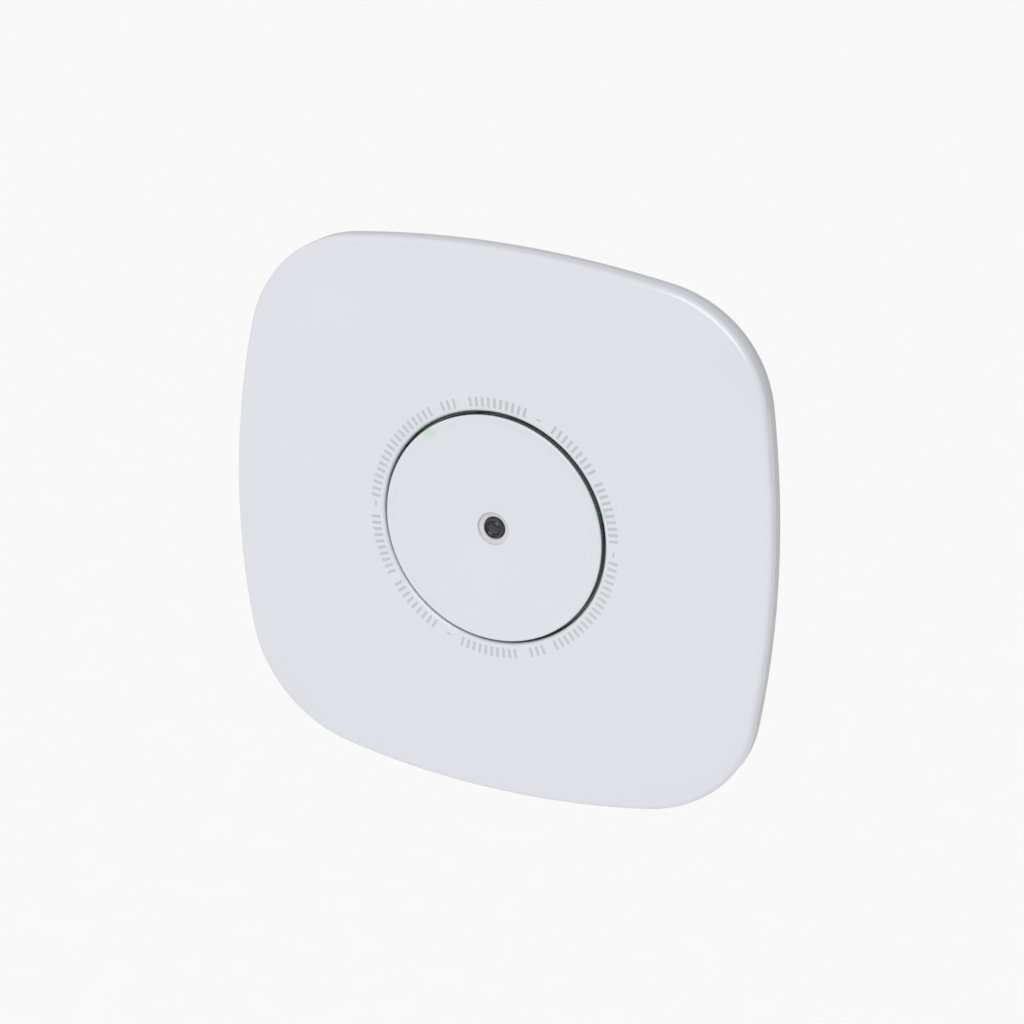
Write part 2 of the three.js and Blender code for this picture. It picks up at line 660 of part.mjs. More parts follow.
function microcontroller() {
  return block(-35, -28, -16, -9, ON_BOARD, ON_BOARD + 1);
}

function radioModule() {
  return block(-40, -26, -4, 14, ON_BOARD, ON_BOARD + 2.4);
}

// ---- Screws, slide switch and label ----

// A pan-head screw, its head's outer face at z = 0 and its shank towards +z.
function panHeadScrew(headRadius, headHeight, shankRadius, length) {
  return turned([
    [0, 0], [headRadius - 0.7, 0], [headRadius, 0.7], [headRadius, headHeight], [shankRadius, headHeight],
    [shankRadius, length - 1], [0, length],
  ], 12);
}

function housingScrew(degrees) {
  const [x, y] = onCircle(SCREW_CIRCLE, degrees);
  return panHeadScrew(2.7, 2, 1.15, 14).translate([x, y, SCREW_POCKET.shelf - GAP - 2]);
}

function boardScrew(degrees) {
  const [x, y] = onCircle(BOARD_SCREW_CIRCLE, degrees);
  return panHeadScrew(2.3, 1.4, 1.05, 5).rotate([180, 0, 0]).translate([x, y, ON_BOARD + 1.4]);
}

function activationSlider() {
  const { x, y, knob, width } = SLIDER;
  const plateLow = BACK_INSIDE + GAP;
  const plate = block(x - SLIDER.plateX, x + SLIDER.plateX, y - SLIDER.plateY, y + SLIDER.plateY,
    plateLow, plateLow + SLIDER.plate);
  return join(plate, slot(knob, width, x, y, BACK + 0.1, plateLow + 0.2));
}

function activationSwitch() {
  const { half, low, high } = SLIDE_SWITCH;
  return block(-half, half, low, high, BACK_INSIDE + SLIDER.plate + 2 * GAP, BOARD - GAP);
}

function ratingLabel() {
  const { half, halfHeight, y } = LABEL;
  return block(-half, half, y - halfHeight, y + halfHeight, BACK + 0.05, BACK + 0.2);
}

// ---- Materials ----

function finish(color, roughness, metalness = 0) {
  return { color, roughness, metalness };
}

const GLOSS_WHITE = finish("#e6e7eb", 0.18);
const SATIN_WHITE = finish("#dcdde0", 0.45);
const BLACK_PLASTIC = finish("#151517", 0.5);
const BLACK_GLASS = finish("#050507", 0.05);
const CLEAR_GREEN = finish("#cfe8d4", 0.3);
const BOARD_GREEN = finish("#1f5a38", 0.45);
const STEEL = finish("#b9bcc0", 0.3, 1);
const BRASS = finish("#c9a45a", 0.35, 1);
const MESH_GREY = finish("#3a3b3d", 0.4, 0.8);
const FOAM = finish("#2b2b2e", 0.95);
const CELL_WRAP = finish("#3f5f86", 0.35);
const LABEL_SILVER = finish("#c9cacd", 0.4);
const CHIP = finish("#1c1d20", 0.55);

// ---- The alarm ----

const alarm = new THREE.Group();
alarm.rotation.x = Math.PI / 2;

// Adds one solid to the alarm as a named mesh.
function add(name, solid, look) {
  const made = solid.getMesh();
  const geometry = new THREE.BufferGeometry();
  geometry.setAttribute("position", new THREE.BufferAttribute(made.vertProperties, made.numProp));
  geometry.setIndex(new THREE.BufferAttribute(made.triVerts, 1));
  geometry.computeVertexNormals();
  const mesh = new THREE.Mesh(geometry, new THREE.MeshStandardMaterial(look));
  mesh.name = name;
  alarm.add(mesh);
}

add("mounting_bracket", mountingBracket(), SATIN_WHITE);
add("rear_housing", rearHousing(), SATIN_WHITE);
add("front_cover", frontCover(), GLOSS_WHITE);

add("button_cap", buttonCap(), GLOSS_WHITE);
add("button_grille", buttonGrille(), GLOSS_WHITE);
add("inlet_mesh", inletMesh(), MESH_GREY);
add("lens_bezel", lensBezel(), BLACK_PLASTIC);
add("status_lens", statusLens(), BLACK_GLASS);
add("button_spring", buttonSpring(), STEEL);
add("switch_body", switchBody(), BLACK_PLASTIC);
add("switch_plunger", switchPlunger(), BLACK_PLASTIC);

add("light_guide_ring", lightGuideRing(), CLEAR_GREEN);
add("light_board", lightBoard(), BOARD_GREEN);
add("light_sensor", lightSensor(), CHIP);
add("board_link", boardLink(), CHIP);
LIGHTS.forEach((degrees, step) => add(`status_led_${step + 1}`, statusLed(degrees), CLEAR_GREEN));

add("chamber_base", chamberBase(), BLACK_PLASTIC);
add("chamber_labyrinth", chamberLabyrinth(), BLACK_PLASTIC);
add("chamber_lid", chamberLid(), BLACK_PLASTIC);
add("chamber_mesh", chamberMesh(), MESH_GREY);
add("infrared_emitter", chamberDiode(0), BLACK_GLASS);
add("smoke_photodiode", chamberDiode(130), BLACK_GLASS);
add("foam_gasket", foamGasket(), FOAM);

add("horn_body", hornBody(), BLACK_PLASTIC);
add("piezo_disc", piezoDisc(), BRASS);
add("horn_cap", hornCap(), BLACK_PLASTIC);

for (const [place, y] of [["upper", CELL_PLACE], ["lower", -CELL_PLACE]]) {
  add(`battery_holder_${place}`, batteryHolder(y), BLACK_PLASTIC);
  add(`battery_cell_${place}`, batteryCell(y), CELL_WRAP);
  add(`battery_contact_${place}_left`, batteryContact(y, -1), STEEL);
  add(`battery_contact_${place}_right`, batteryContact(y, 1), STEEL);
}

add("main_board", mainBoard(), BOARD_GREEN);
add("capacitor", capacitor(), CHIP);
add("horn_coil", hornCoil(), CHIP);
add("microcontroller", microcontroller(), CHIP);
add("radio_module", radioModule(), STEEL);

DIAGONALS.forEach((degrees, step) => {
  add(`housing_screw_${step + 1}`, housingScrew(degrees), STEEL);
  add(`board_screw_${step + 1}`, boardScrew(degrees), STEEL);
});
add("activation_slider", activationSlider(), BLACK_PLASTIC);
add("activation_switch", activationSwitch(), CHIP);
add("rating_label", ratingLabel(), LABEL_SILVER);

export default alarm;
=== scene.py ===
"""A wall-mounted smoke alarm: its looks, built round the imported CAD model.

Shapes are drawn in millimetres with the alarm lying on its back (x to the right, y up the wall, z out from
the wall) and are turned upright when they become meshes: metres, front towards -Y, wall at y = 0.
"""
import json
import math

import bmesh
import bpy
import numpy as np
from mathutils import Matrix, Vector


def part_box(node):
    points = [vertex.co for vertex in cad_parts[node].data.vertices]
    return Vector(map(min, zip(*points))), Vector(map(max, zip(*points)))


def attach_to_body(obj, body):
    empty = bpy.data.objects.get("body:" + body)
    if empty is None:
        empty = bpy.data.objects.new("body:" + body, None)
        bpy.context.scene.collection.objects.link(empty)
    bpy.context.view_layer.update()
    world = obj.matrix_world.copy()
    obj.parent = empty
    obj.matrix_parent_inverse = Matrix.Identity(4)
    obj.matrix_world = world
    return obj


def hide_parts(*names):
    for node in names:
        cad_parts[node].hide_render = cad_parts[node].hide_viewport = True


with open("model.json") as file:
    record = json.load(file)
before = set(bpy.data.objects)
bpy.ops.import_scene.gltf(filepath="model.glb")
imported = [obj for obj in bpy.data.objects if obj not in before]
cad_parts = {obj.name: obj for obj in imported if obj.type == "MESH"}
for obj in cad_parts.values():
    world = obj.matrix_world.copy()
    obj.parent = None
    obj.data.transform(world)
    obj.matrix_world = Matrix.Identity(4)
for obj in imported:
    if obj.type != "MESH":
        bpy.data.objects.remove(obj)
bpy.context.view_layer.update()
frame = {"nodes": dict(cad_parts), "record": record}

# ---- Sizes from the frame, in drawing axes and millimetres ----
MM = 0.001


def extent(node):
    """Lowest and highest corners of a CAD node."""
    low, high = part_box(node)
    return Vector((low.x, low.z, -high.y)) / MM, Vector((high.x, high.z, -low.y)) / MM


COVER_HIGH = extent("front_cover")[1]
HOUSING_LOW = extent("rear_housing")[0]
CAP_LOW, CAP_HIGH = extent("button_cap")
CAGE_LOW, CAGE_HIGH = extent("button_grille")
BRACKET_HIGH = extent("mounting_bracket")[1]
BEZEL_LOW, BEZEL_HIGH = extent("lens_bezel")
LENS_LOW, LENS_HIGH = extent("status_lens")
LIGHT_LOW, LIGHT_HIGH = extent("light_guide_ring")

HALF_WIDTH = COVER_HIGH.x
HALF_HEIGHT = COVER_HIGH.y
BUTTON_RIM = CAP_HIGH.z
LIP = 0.5  # how far the button's rim stands out from the middle of the cover
FRONT = BUTTON_RIM - LIP
BACK = HOUSING_LOW.z

# ---- Driving dimensions of the casing ----
DOME = 1.25  # how far the cover falls back by the middle of a side
COVER = 2.0  # thickness of the cover
COVER_EDGE = 2.7  # depth of its turned-down edge
RIM = 5.9  # depth of the rim: the cover's edge and the housing's flange behind it
SIDE_ARC = 3.41  # radius of the four side arcs, in half-widths
CORNER_ARC = 0.453  # radius of the four corner arcs, in half-widths
OPENING = 30.9  # radius of the opening for the button, 0.1 more than in the CAD
GAP = 0.3  # air between pieces that rest on each other
WALL = 2.0  # thickness of the rear housing
FLANGE_REACH = 7.0  # how far the housing's flange stands out of its bowl
FLANGE_INSET = 0.15  # the flange's edge, behind the cover's
BACK_RADIUS = 55.5  # housing at the wall side
BACK_INSIDE = BACK + 1.8
TWIST = 18  # degrees from locked to released
SCREW_CIRCLE = 49.0
BOARD_SCREW_CIRCLE = 36.0
BOARD_UNDER = 8.2

DIAGONALS = (45, 135, 225, 315)
QUARTERS = (0, 90, 180, 270)
LIGHTS = (15, 135, 255)  # where the light ring is lit
LEGS = (75, 195, 315)  # the button's hooked legs

PITCHES = 48  # equal steps round the casing, a side vent in each but those at the corners
COLUMNS = PITCHES * 8  # points round the casing
ROUND = 192  # sides of a large round piece
SMALL = 64  # sides of a small round piece


# ---- Meshes ----
def upright(points):
    """Drawing millimetres to metres in the shared frame."""
    x, y, z = np.asarray(points, float).reshape(-1, 3).T * MM
    return np.stack([x, -z, y], axis=1)


def new_piece(name, points, faces, sharp=35):
    """A mesh object, right side out, smooth but for edges sharper than so many degrees."""
    mesh = bpy.data.meshes.new(name)
    mesh.from_pydata(upright(points), [], faces)
    work = bmesh.new()
    work.from_mesh(mesh)
    bmesh.ops.recalc_face_normals(work, faces=work.faces)
    work.to_mesh(mesh)
    work.free()
    piece = bpy.data.objects.new(name, mesh)
    bpy.context.scene.collection.objects.link(piece)
    smooth(piece, sharp)
    return piece


def smooth(piece, sharp=35):
    piece.data.shade_smooth()
    piece.data.set_sharp_from_angle(angle=math.radians(sharp))


def skin(rings, capped=False):
    """Points and faces of a skin through rings of points.

    The last ring meets the first, or flat ends cap it.
    """
    rings = np.asarray(rings, float)
    count, sides = rings.shape[:2]
    faces = []
    for ring in range(count - 1 if capped else count):
        here, there = ring * sides, (ring + 1) % count * sides
        for side in range(sides):
            after = (side + 1) % sides
            faces.append((here + side, here + after, there + after, there + side))
    if capped:
        faces.append(tuple(range(sides))[::-1])
        faces.append(tuple(range((count - 1) * sides, count * sides)))
    return rings.reshape(-1, 3), faces


def joined(*parts):
    """Several (points, faces) as one."""
    points, faces, start = [], [], 0
    for part_points, part_faces in parts:
        points.append(np.asarray(part_points, float))
        faces.extend(tuple(corner + start for corner in face) for face in part_faces)
        start += len(part_points)
    return np.concatenate(points), faces


def around(sides):
    return np.arange(sides) * 2 * math.pi / sides


def circle(radius, z, sides=ROUND):
    angle = around(sides)
    return np.stack([radius * np.cos(angle), radius * np.sin(angle), np.full(sides, float(z))], axis=1)


def lathe(profile, sides=ROUND, capped=False):
    """A (radius, z) profile turned round z. It closes on itself, or its flat ends are capped."""
    return skin([circle(radius, z, sides) for radius, z in profile], capped)


def filleted(corners, steps=5, closed=True):
    """An outline from (a, b, radius) corners, each corner turned by an arc of that radius."""
    outline = []
    for index, (a, b, radius) in enumerate(corners):
        corner = Vector((a, b))
        end = not closed and index in (0, len(corners) - 1)
        if end or radius == 0:
            outline.append(corner)
            continue
        before = (Vector(corners[index - 1][:2]) - corner).normalized()
        after = (Vector(corners[(index + 1) % len(corners)][:2]) - corner).normalized()
        half = before.angle(after) / 2
        centre = corner + (before + after).normalized() * radius / math.sin(half)
        start = corner + before * radius / math.tan(half) - centre
        finish = corner + after * radius / math.tan(half) - centre
        sweep = start.angle(finish)
        for step in range(steps + 1):
            share = step / steps
            near = math.sin((1 - share) * sweep) / math.sin(sweep)
            far = math.sin(share * sweep) / math.sin(sweep)
            outline.append(centre + start * near + finish * far)
    return [tuple(point) for point in outline]


def sector_outline(inner, outer, start, finish, grow=0.0, corner=0.0, steps=10):
    """Part of a ring between two angles in degrees, grown by an offset all round."""
    corners = []
    for radius, first, last in ((outer + grow, start, finish), (inner - grow, finish, start)):
        widen = math.copysign(math.degrees(grow / radius), last - first)
        for degrees in np.linspace(first - widen, last + widen, steps):
            turn = corner if degrees in (first - widen, last + widen) else 0
            corners.append((*on_circle(radius, degrees), turn))
    return filleted(corners)


def slot_outline(length, width, x, y, grow=0.0, steps=12):
    """A slot with round ends, lying along x."""
    radius = width / 2 + grow
    reach = length / 2 - width / 2
    outline = []
    for side in (1, -1):
        for angle in np.linspace(-math.pi / 2, math.pi / 2, steps):
            across = side * (reach + radius * math.cos(angle))
            up = side * radius * math.sin(angle)
            outline.append((x + across, y + up))
    return outline


def disc_outline(radius, x, y, grow=0.0, sides=SMALL):
    return [(x + (radius + grow) * math.cos(a), y + (radius + grow) * math.sin(a)) for a in around(sides)]


def stack(layers):
    """A closed solid through (outline, z) layers."""
    return skin([[(x, y, z) for x, y in outline] for outline, z in layers], capped=True)


def carve(piece, solids, operation="DIFFERENCE"):
    """Cuts (points, faces) solids out of a piece, or joins them to it."""
    tools = []
    for solid in solids:
        tool = new_piece("tool", *solid)
        modifier = piece.modifiers.new("carve", "BOOLEAN")
        modifier.object = tool
        modifier.operation = operation
        modifier.solver = "MANIFOLD"
        tools.append(tool)
    view = bpy.context.evaluated_depsgraph_get()
    mesh = bpy.data.meshes.new_from_object(piece.evaluated_get(view))
    piece.modifiers.clear()
    old = piece.data
    piece.data = mesh
    bpy.data.meshes.remove(old)
    mesh.name = piece.name
    for tool in tools:
        bpy.data.meshes.remove(tool.data)
    smooth(piece)


def on_circle(radius, degrees):
    return radius * math.cos(math.radians(degrees)), radius * math.sin(math.radians(degrees))


# ---- The square-round outline ----
HANDOVER = math.pi / 4 + math.asin((1 - SIDE_ARC) / (math.sqrt(2) * (SIDE_ARC - CORNER_ARC)))
CORNER_CENTRE = (SIDE_ARC - CORNER_ARC) * math.sin(HANDOVER)
HANDOVER_POLAR = math.atan2(SIDE_ARC * math.sin(HANDOVER), 1 - SIDE_ARC + SIDE_ARC * math.cos(HANDOVER))
ANGLES = around(COLUMNS)


def outline_reach(angle):
    """Distance from the middle to the outline, in half-widths."""
    quarter = np.mod(angle, math.pi / 2)
    folded = np.minimum(quarter, math.pi / 2 - quarter)
    along, across = np.cos(folded), np.sin(folded)
    side = (1 - SIDE_ARC) * along + np.sqrt(SIDE_ARC**2 - ((1 - SIDE_ARC) * across) ** 2)
    chord = np.sqrt(np.maximum(CORNER_ARC**2 - (CORNER_CENTRE * (along - across)) ** 2, 0))
    corner = CORNER_CENTRE * (along + across) + chord
    return np.where(folded < HANDOVER_POLAR, side, corner)


def outline_at(inset, angles=ANGLES):
    reach = outline_reach(angles)
    across = (HALF_WIDTH - inset) * reach * np.cos(angles)
    up = (HALF_HEIGHT - inset) * reach * np.sin(angles)
    return np.stack([across, up], axis=1)


def round_at(radius, angles=ANGLES):
    return np.stack([radius * np.cos(angles), radius * np.sin(angles)], axis=1)


def cover_top(places):
    """Front surface of the cover at (x, y) places."""
    reach = np.hypot(places[:, 0] / HALF_WIDTH, places[:, 1] / HALF_HEIGHT)
    return FRONT - DOME * reach**6


def below(places, drop):
    return np.column_stack([places, cover_top(places) - drop])


def level(places, z):
    return np.column_stack([places, np.full(len(places), float(z))])


# ---- Front cover ----
COLLAR = {"inside": 31.0, "outside": 32.6, "ledge": 27.6, "bottom": 29.0, "ledge_top": 30.4}
EDGE_ROUND = 1.3
OPENING_ROUND = 1.0
AIR_SLOT = {"inside": 28.3, "outside": 30.6, "half": 4, "step": 14}
COVER_POST = {"radius": 3.4, "pilot": 1.45, "pilot_top": 20.0, "bottom": 9.1}


def front_cover():
    edge, opening = outline_at(EDGE_ROUND), round_at(OPENING)
    mouth = round_at(OPENING + OPENING_ROUND)
    rings = []
    for share in np.linspace(0, 1, 28):
        rings.append(below(mouth + (edge - mouth) * share, 0))
    for turn in np.radians(np.linspace(0, 90, 10)[1:]):
        rings.append(below(outline_at(EDGE_ROUND * (1 - math.sin(turn))), EDGE_ROUND * (1 - math.cos(turn))))
    rings.append(below(outline_at(0), COVER_EDGE - 0.2))
    rings.append(below(outline_at(0.2), COVER_EDGE))
    rings.append(below(outline_at(COVER), COVER_EDGE))
    under = outline_at(COVER + 0.5)
    collar = round_at(COLLAR["outside"])
    for share in np.linspace(0, 1, 12):
        rings.append(below(under + (collar - under) * share, COVER))
    rings.append(level(collar, COLLAR["bottom"]))
    rings.append(level(round_at(COLLAR["ledge"]), COLLAR["bottom"]))
    rings.append(level(round_at(COLLAR["ledge"]), COLLAR["ledge_top"]))
    rings.append(level(round_at(COLLAR["inside"]), COLLAR["ledge_top"]))
    rings.append(level(round_at(COLLAR["inside"]), FRONT - COVER - 0.4))
    rings.append(level(opening, FRONT - COVER))
    for turn in np.radians(np.linspace(0, 80, 9)):
        radius = OPENING + OPENING_ROUND * (1 - math.cos(turn))
        rings.append(below(round_at(radius), OPENING_ROUND * (1 - math.sin(turn))))
    cover = new_piece("cover", *skin(rings), sharp=40)
    posts, pilots, slots = [], [], []
    for degrees in DIAGONALS:
        x, y = on_circle(SCREW_CIRCLE, degrees)
        post = disc_outline(COVER_POST["radius"], x, y)
        pilot = disc_outline(COVER_POST["pilot"], x, y)
        posts.append(stack([(post, COVER_POST["bottom"]), (post, FRONT - COVER)]))
        pilots.append(stack([(pilot, COVER_POST["bottom"] - 1), (pilot, COVER_POST["pilot_top"])]))
    for quarter in QUARTERS:
        for step in (-1, 0, 1):
            middle = quarter + step * AIR_SLOT["step"]
            outline = sector_outline(AIR_SLOT["inside"], AIR_SLOT["outside"],
                                     middle - AIR_SLOT["half"], middle + AIR_SLOT["half"])
            slots.append(stack([(outline, COLLAR["bottom"] - 1), (outline, COLLAR["ledge_top"] + 1)]))
    carve(cover, posts, "UNION")
    carve(cover, pilots + slots)
    return cover


# ---- Rear housing ----
VENT = {"half": 1.2, "low": 18.0, "high": 26.0, "chamfer": 0.35, "reach": 66}
VENT_ROWS = 4
HOOK_RADIUS = 40.3
HOOK = {"half": 6.0, "post": 2.0, "lip": 4.5, "under": 4.9}
HOOK_PLAY = {"along": 0.6, "across": 0.4}
SCREW_POCKET = {"radius": 4.6, "head": 3.1, "shelf": 5.7, "top": 8.8, "shank": 1.6}
STAND_OFF = {"radius": 2.6, "pilot": 1.35}
SLIDER = {"knob": 3, "width": 2.8, "travel": 5}
LABEL_DEPTH = 0.5


def vent_angles():
    """Column angles, crowded at the vents' edges."""
    pitch = 2 * math.pi / PITCHES
    edge = VENT["half"] / VENT["reach"]
    chamfer = VENT["chamfer"] / VENT["reach"]
    offsets = np.array([-0.5 * pitch, -0.3 * pitch, -edge - chamfer, -edge,
                        0, edge, edge + chamfer, 0.3 * pitch])
    return (np.arange(PITCHES)[:, None] * pitch + offsets[None, :]).reshape(-1)


HOUSING_ANGLES = vent_angles()


def housing_outline(inset):
    return outline_at(inset, HOUSING_ANGLES)


def housing_round(radius):
    return round_at(radius, HOUSING_ANGLES)


def bowl(z, floor, inset):
    """The bowl at height z: round at the back, square-round at the flange."""
    flange = housing_outline(FLANGE_REACH + inset)
    top = cover_top(flange) - RIM
    share = np.clip((z - floor) / (top - floor), 0, 1)
    eased = 1 - (1 - share) ** 1.6
    back = housing_round(BACK_RADIUS - inset)
    places = back + (flange - back) * eased[:, None]
    return np.column_stack([places, np.minimum(z, top)])


def housing_rows():
    """Outer and inner rings of the housing, back to flange, and the rows that the vents run between."""
    low, high, chamfer = VENT["low"], VENT["high"], VENT["chamfer"]
    floor = BACK + 1.2
    outer = [
        level(housing_round(BACK_RADIUS - 1.2), BACK),
        level(housing_round(BACK_RADIUS - 0.6), BACK + 0.15),
        level(housing_round(BACK_RADIUS - 0.15), BACK + 0.6),
        bowl(floor, floor, 0), bowl(7.5, floor, 0), bowl(11, floor, 0), bowl(14.5, floor, 0),
        bowl(low - chamfer, floor, 0),
    ]
    first = len(outer)
    outer += [bowl(z, floor, 0) for z in np.linspace(low, high, VENT_ROWS + 1)]
    last = len(outer) - 1
    outer += [bowl(high + chamfer, floor, 0), bowl(27.8, floor, 0), bowl(29, floor, 0)]
    foot, arm = housing_outline(FLANGE_REACH), housing_outline(FLANGE_INSET)
    outer += [
        below(foot, RIM + 0.6),
        below(foot + (arm - foot) * 0.02, RIM + 0.25),
        below(foot + (arm - foot) * 0.06, RIM + 0.05),
        below(foot + (arm - foot) * 0.12, RIM),
        below(foot + (arm - foot) * 0.5, RIM),
        below(housing_outline(FLANGE_INSET + 0.4), RIM),
        below(housing_outline(FLANGE_INSET + 0.12), RIM - 0.12),
        below(housing_outline(FLANGE_INSET), RIM - 0.4),
        below(housing_outline(FLANGE_INSET), COVER_EDGE + GAP + 0.25),
        below(housing_outline(FLANGE_INSET + 0.25), COVER_EDGE + GAP),
    ]
    inner = [level(housing_round(BACK_RADIUS - WALL - 3 + step), BACK_INSIDE) for step in (0, 1, 2, 3)]
    heights = [6.5, 10, 13, low - chamfer, *np.linspace(low, high, VENT_ROWS + 1), high + chamfer, 28, 29]
    inner += [bowl(z, BACK_INSIDE, WALL) for z in heights]
    rest = len(outer) - len(inner)
    top = housing_outline(FLANGE_REACH + WALL)
    inner += [below(top, RIM - (RIM - COVER_EDGE - GAP) * step / rest) for step in range(1, rest + 1)]
    return outer, inner, first, last


def vent_column(column):
    """Whether the cell right of this column is part of a vent. Each pitch has a vent but for the corners."""
    pitch, place = divmod(column, 8)
    per_quarter = PITCHES // 4
    at_corner = abs(pitch % per_quarter - per_quarter / 2) < 2
    return place in (3, 4) and not at_corner


def rear_housing():
    outer, inner, first, last = housing_rows()
    rows = len(outer)
    outer, inner = np.array(outer), np.array(inner)
    is_open = np.zeros((rows - 1, COLUMNS), bool)
    for column in range(COLUMNS):
        if vent_column(column):
            is_open[first:last, column] = True
    sunk = np.zeros((rows, COLUMNS), bool)
    for row in range(rows - 1):
        for column in np.nonzero(is_open[row])[0]:
            after = (column + 1) % COLUMNS
            sunk[[row, row, row + 1, row + 1], [column, after, column, after]] = True
    inward = inner - outer
    inward /= np.linalg.norm(inward, axis=2, keepdims=True)
    outer = outer + inward * (sunk * VENT["chamfer"])[:, :, None]
    points, faces = pierced(outer, inner, is_open)
    housing = new_piece("housing", points, faces, sharp=32)
    bosses, cuts = [], []
    for degrees in DIAGONALS:
        x, y = on_circle(SCREW_CIRCLE, degrees)
        boss = disc_outline(SCREW_POCKET["radius"], x, y)
        mouth = disc_outline(SCREW_POCKET["head"], x, y, 0.4)
        head = disc_outline(SCREW_POCKET["head"], x, y)
        bosses.append(stack([(boss, BACK + 0.5), (boss, SCREW_POCKET["top"])]))
        cuts.append(stack([(mouth, BACK - 1), (mouth, BACK),
                           (head, BACK + 0.4), (head, SCREW_POCKET["shelf"])]))
        shank = disc_outline(SCREW_POCKET["shank"], x, y)
        cuts.append(stack([(shank, BACK), (shank, SCREW_POCKET["top"] + 1)]))
        x, y = on_circle(BOARD_SCREW_CIRCLE, degrees)
        post, pilot = disc_outline(STAND_OFF["radius"], x, y), disc_outline(STAND_OFF["pilot"], x, y)
        bosses.append(stack([(post, BACK_INSIDE - 0.5), (post, BOARD_UNDER - GAP)]))
        cuts.append(stack([(pilot, BACK_INSIDE + 0.4), (pilot, BOARD_UNDER)]))
    for degrees in QUARTERS:
        cuts += hook_slots(degrees)
    carve(housing, bosses, "UNION")
    carve(housing, cuts + [slider_slot(), label_recess()])
    return housing


def pierced(outer, inner, is_open, floored=True):
    """A closed shell from matching rows of outer and inner points, with cells left open through it.

    Its first rows are filled in as a floor, or else joined by a flat ring.
    """
    rows, columns = outer.shape[:2]
    inside = rows * columns
    faces = []

    def quad(a, b, c, d, start=0):
        faces.append((start + a, start + b, start + c, start + d))

    for row in range(rows - 1):
        for column in range(columns):
            after = (column + 1) % columns
            a, b = row * columns + column, row * columns + after
            c, d = a + columns, b + columns
            if not is_open[row, column]:
                quad(a, b, d, c)
                quad(a, c, d, b, inside)
            elif not is_open[row - 1, column]:
                quad(a, b, b + inside, a + inside)
            if is_open[row, column] and not is_open[row + 1, column]:
                quad(c, c + inside, d + inside, d)
            if is_open[row, column] != is_open[row, after]:
                quad(b, d, d + inside, b + inside)
    for column in range(columns):
        after = (column + 1) % columns
        a, b = (rows - 1) * columns + column, (rows - 1) * columns + after
        quad(a, b, b + inside, a + inside)
    if floored:
        faces.append(tuple(range(columns)))
        faces.append(tuple(range(inside, inside + columns)))
    else:
        for column in range(columns):
            after = (column + 1) % columns
            quad(column, inside + column, inside + after, after)
    return np.concatenate([outer.reshape(-1, 3), inner.reshape(-1, 3)]), faces


def hook_slots(degrees):
    """The slot for one hook: wide where the hook enters, narrow where it locks."""
    half = HOOK["half"] + HOOK_PLAY["along"]
    inner, outer = HOOK_RADIUS - HOOK_PLAY["across"], HOOK_RADIUS + HOOK["post"] + HOOK_PLAY["across"]
    mouth = HOOK_RADIUS + HOOK["lip"] + HOOK_PLAY["across"]
    entered = degrees - TWIST
    run = sector_outline(inner, outer, entered - half, degrees + half)
    entry = sector_outline(inner, mouth, entered - half, entered + half)
    return [stack([(outline, BACK - 1), (outline, BACK_INSIDE + 1)]) for outline in (run, entry)]


def slider_slot():
    low, high = extent("activation_slider")
    middle = (low.x + high.x) / 2
    width = SLIDER["width"] + 2 * GAP
    length = SLIDER["knob"] + SLIDER["travel"] + 2 * GAP
    centre = middle + SLIDER["travel"] / 2
    layers = []
    for z, grow in ((BACK - 1, 0.3), (BACK, 0.3), (BACK + 0.3, 0), (BACK_INSIDE + 1, 0)):
        layers.append((slot_outline(length, width, centre, (low.y + high.y) / 2, grow), z))
    return stack(layers)


def label_recess():
    low, high = extent("rating_label")
    corners = [(low.x - GAP, low.y - GAP, 1), (high.x + GAP, low.y - GAP, 1),
               (high.x + GAP, high.y + GAP, 1), (low.x - GAP, high.y + GAP, 1)]
    outline = filleted(corners)
    return stack([(outline, BACK - 1), (outline, BACK + LABEL_DEPTH)])


# ---- Bracket ----
PLATE = {"radius": 54.0, "thickness": 2.4, "round": 0.5}
POCKET = {"count": 12, "inside": 37.5, "outside": 51.5, "rib": 2.4, "depth": 1.2}
SCREW_SLOT = {"circle": 30.0, "width": 4.6, "half": 14, "head": 9.6, "head_angle": 21}
WINDOW = {"length": 42.0, "width": 13.0, "y": 24.0}


def swept(profile, start, finish, steps=12):
    """A closed (radius, z) profile turned part of the way round z."""
    rings = []
    for degrees in np.linspace(start, finish, steps):
        rings.append([(*on_circle(radius, degrees), z) for radius, z in profile])
    return skin(rings, capped=True)


def hook(degrees):
    radius, lip, top = HOOK_RADIUS, HOOK_RADIUS + HOOK["lip"], BRACKET_HIGH.z
    profile = filleted([
        (radius, 1, 0), (radius + HOOK["post"], 1, 0), (radius + HOOK["post"], HOOK["under"], 0.3),
        (lip, HOOK["under"], 0.2), (lip, top, 0.5), (radius, top, 0.4),
    ])
    return swept(profile, degrees - HOOK["half"], degrees + HOOK["half"])


def through_cut(outline_for, soften=0.35):
    """A cutter right through the plate whose edges are softened on both faces."""
    thickness = PLATE["thickness"]
    layers = [(-1, soften), (0, soften), (soften, 0), (thickness - soften, 0),
              (thickness, soften), (thickness + 1, soften)]
    return stack([(outline_for(grow), z) for z, grow in layers])


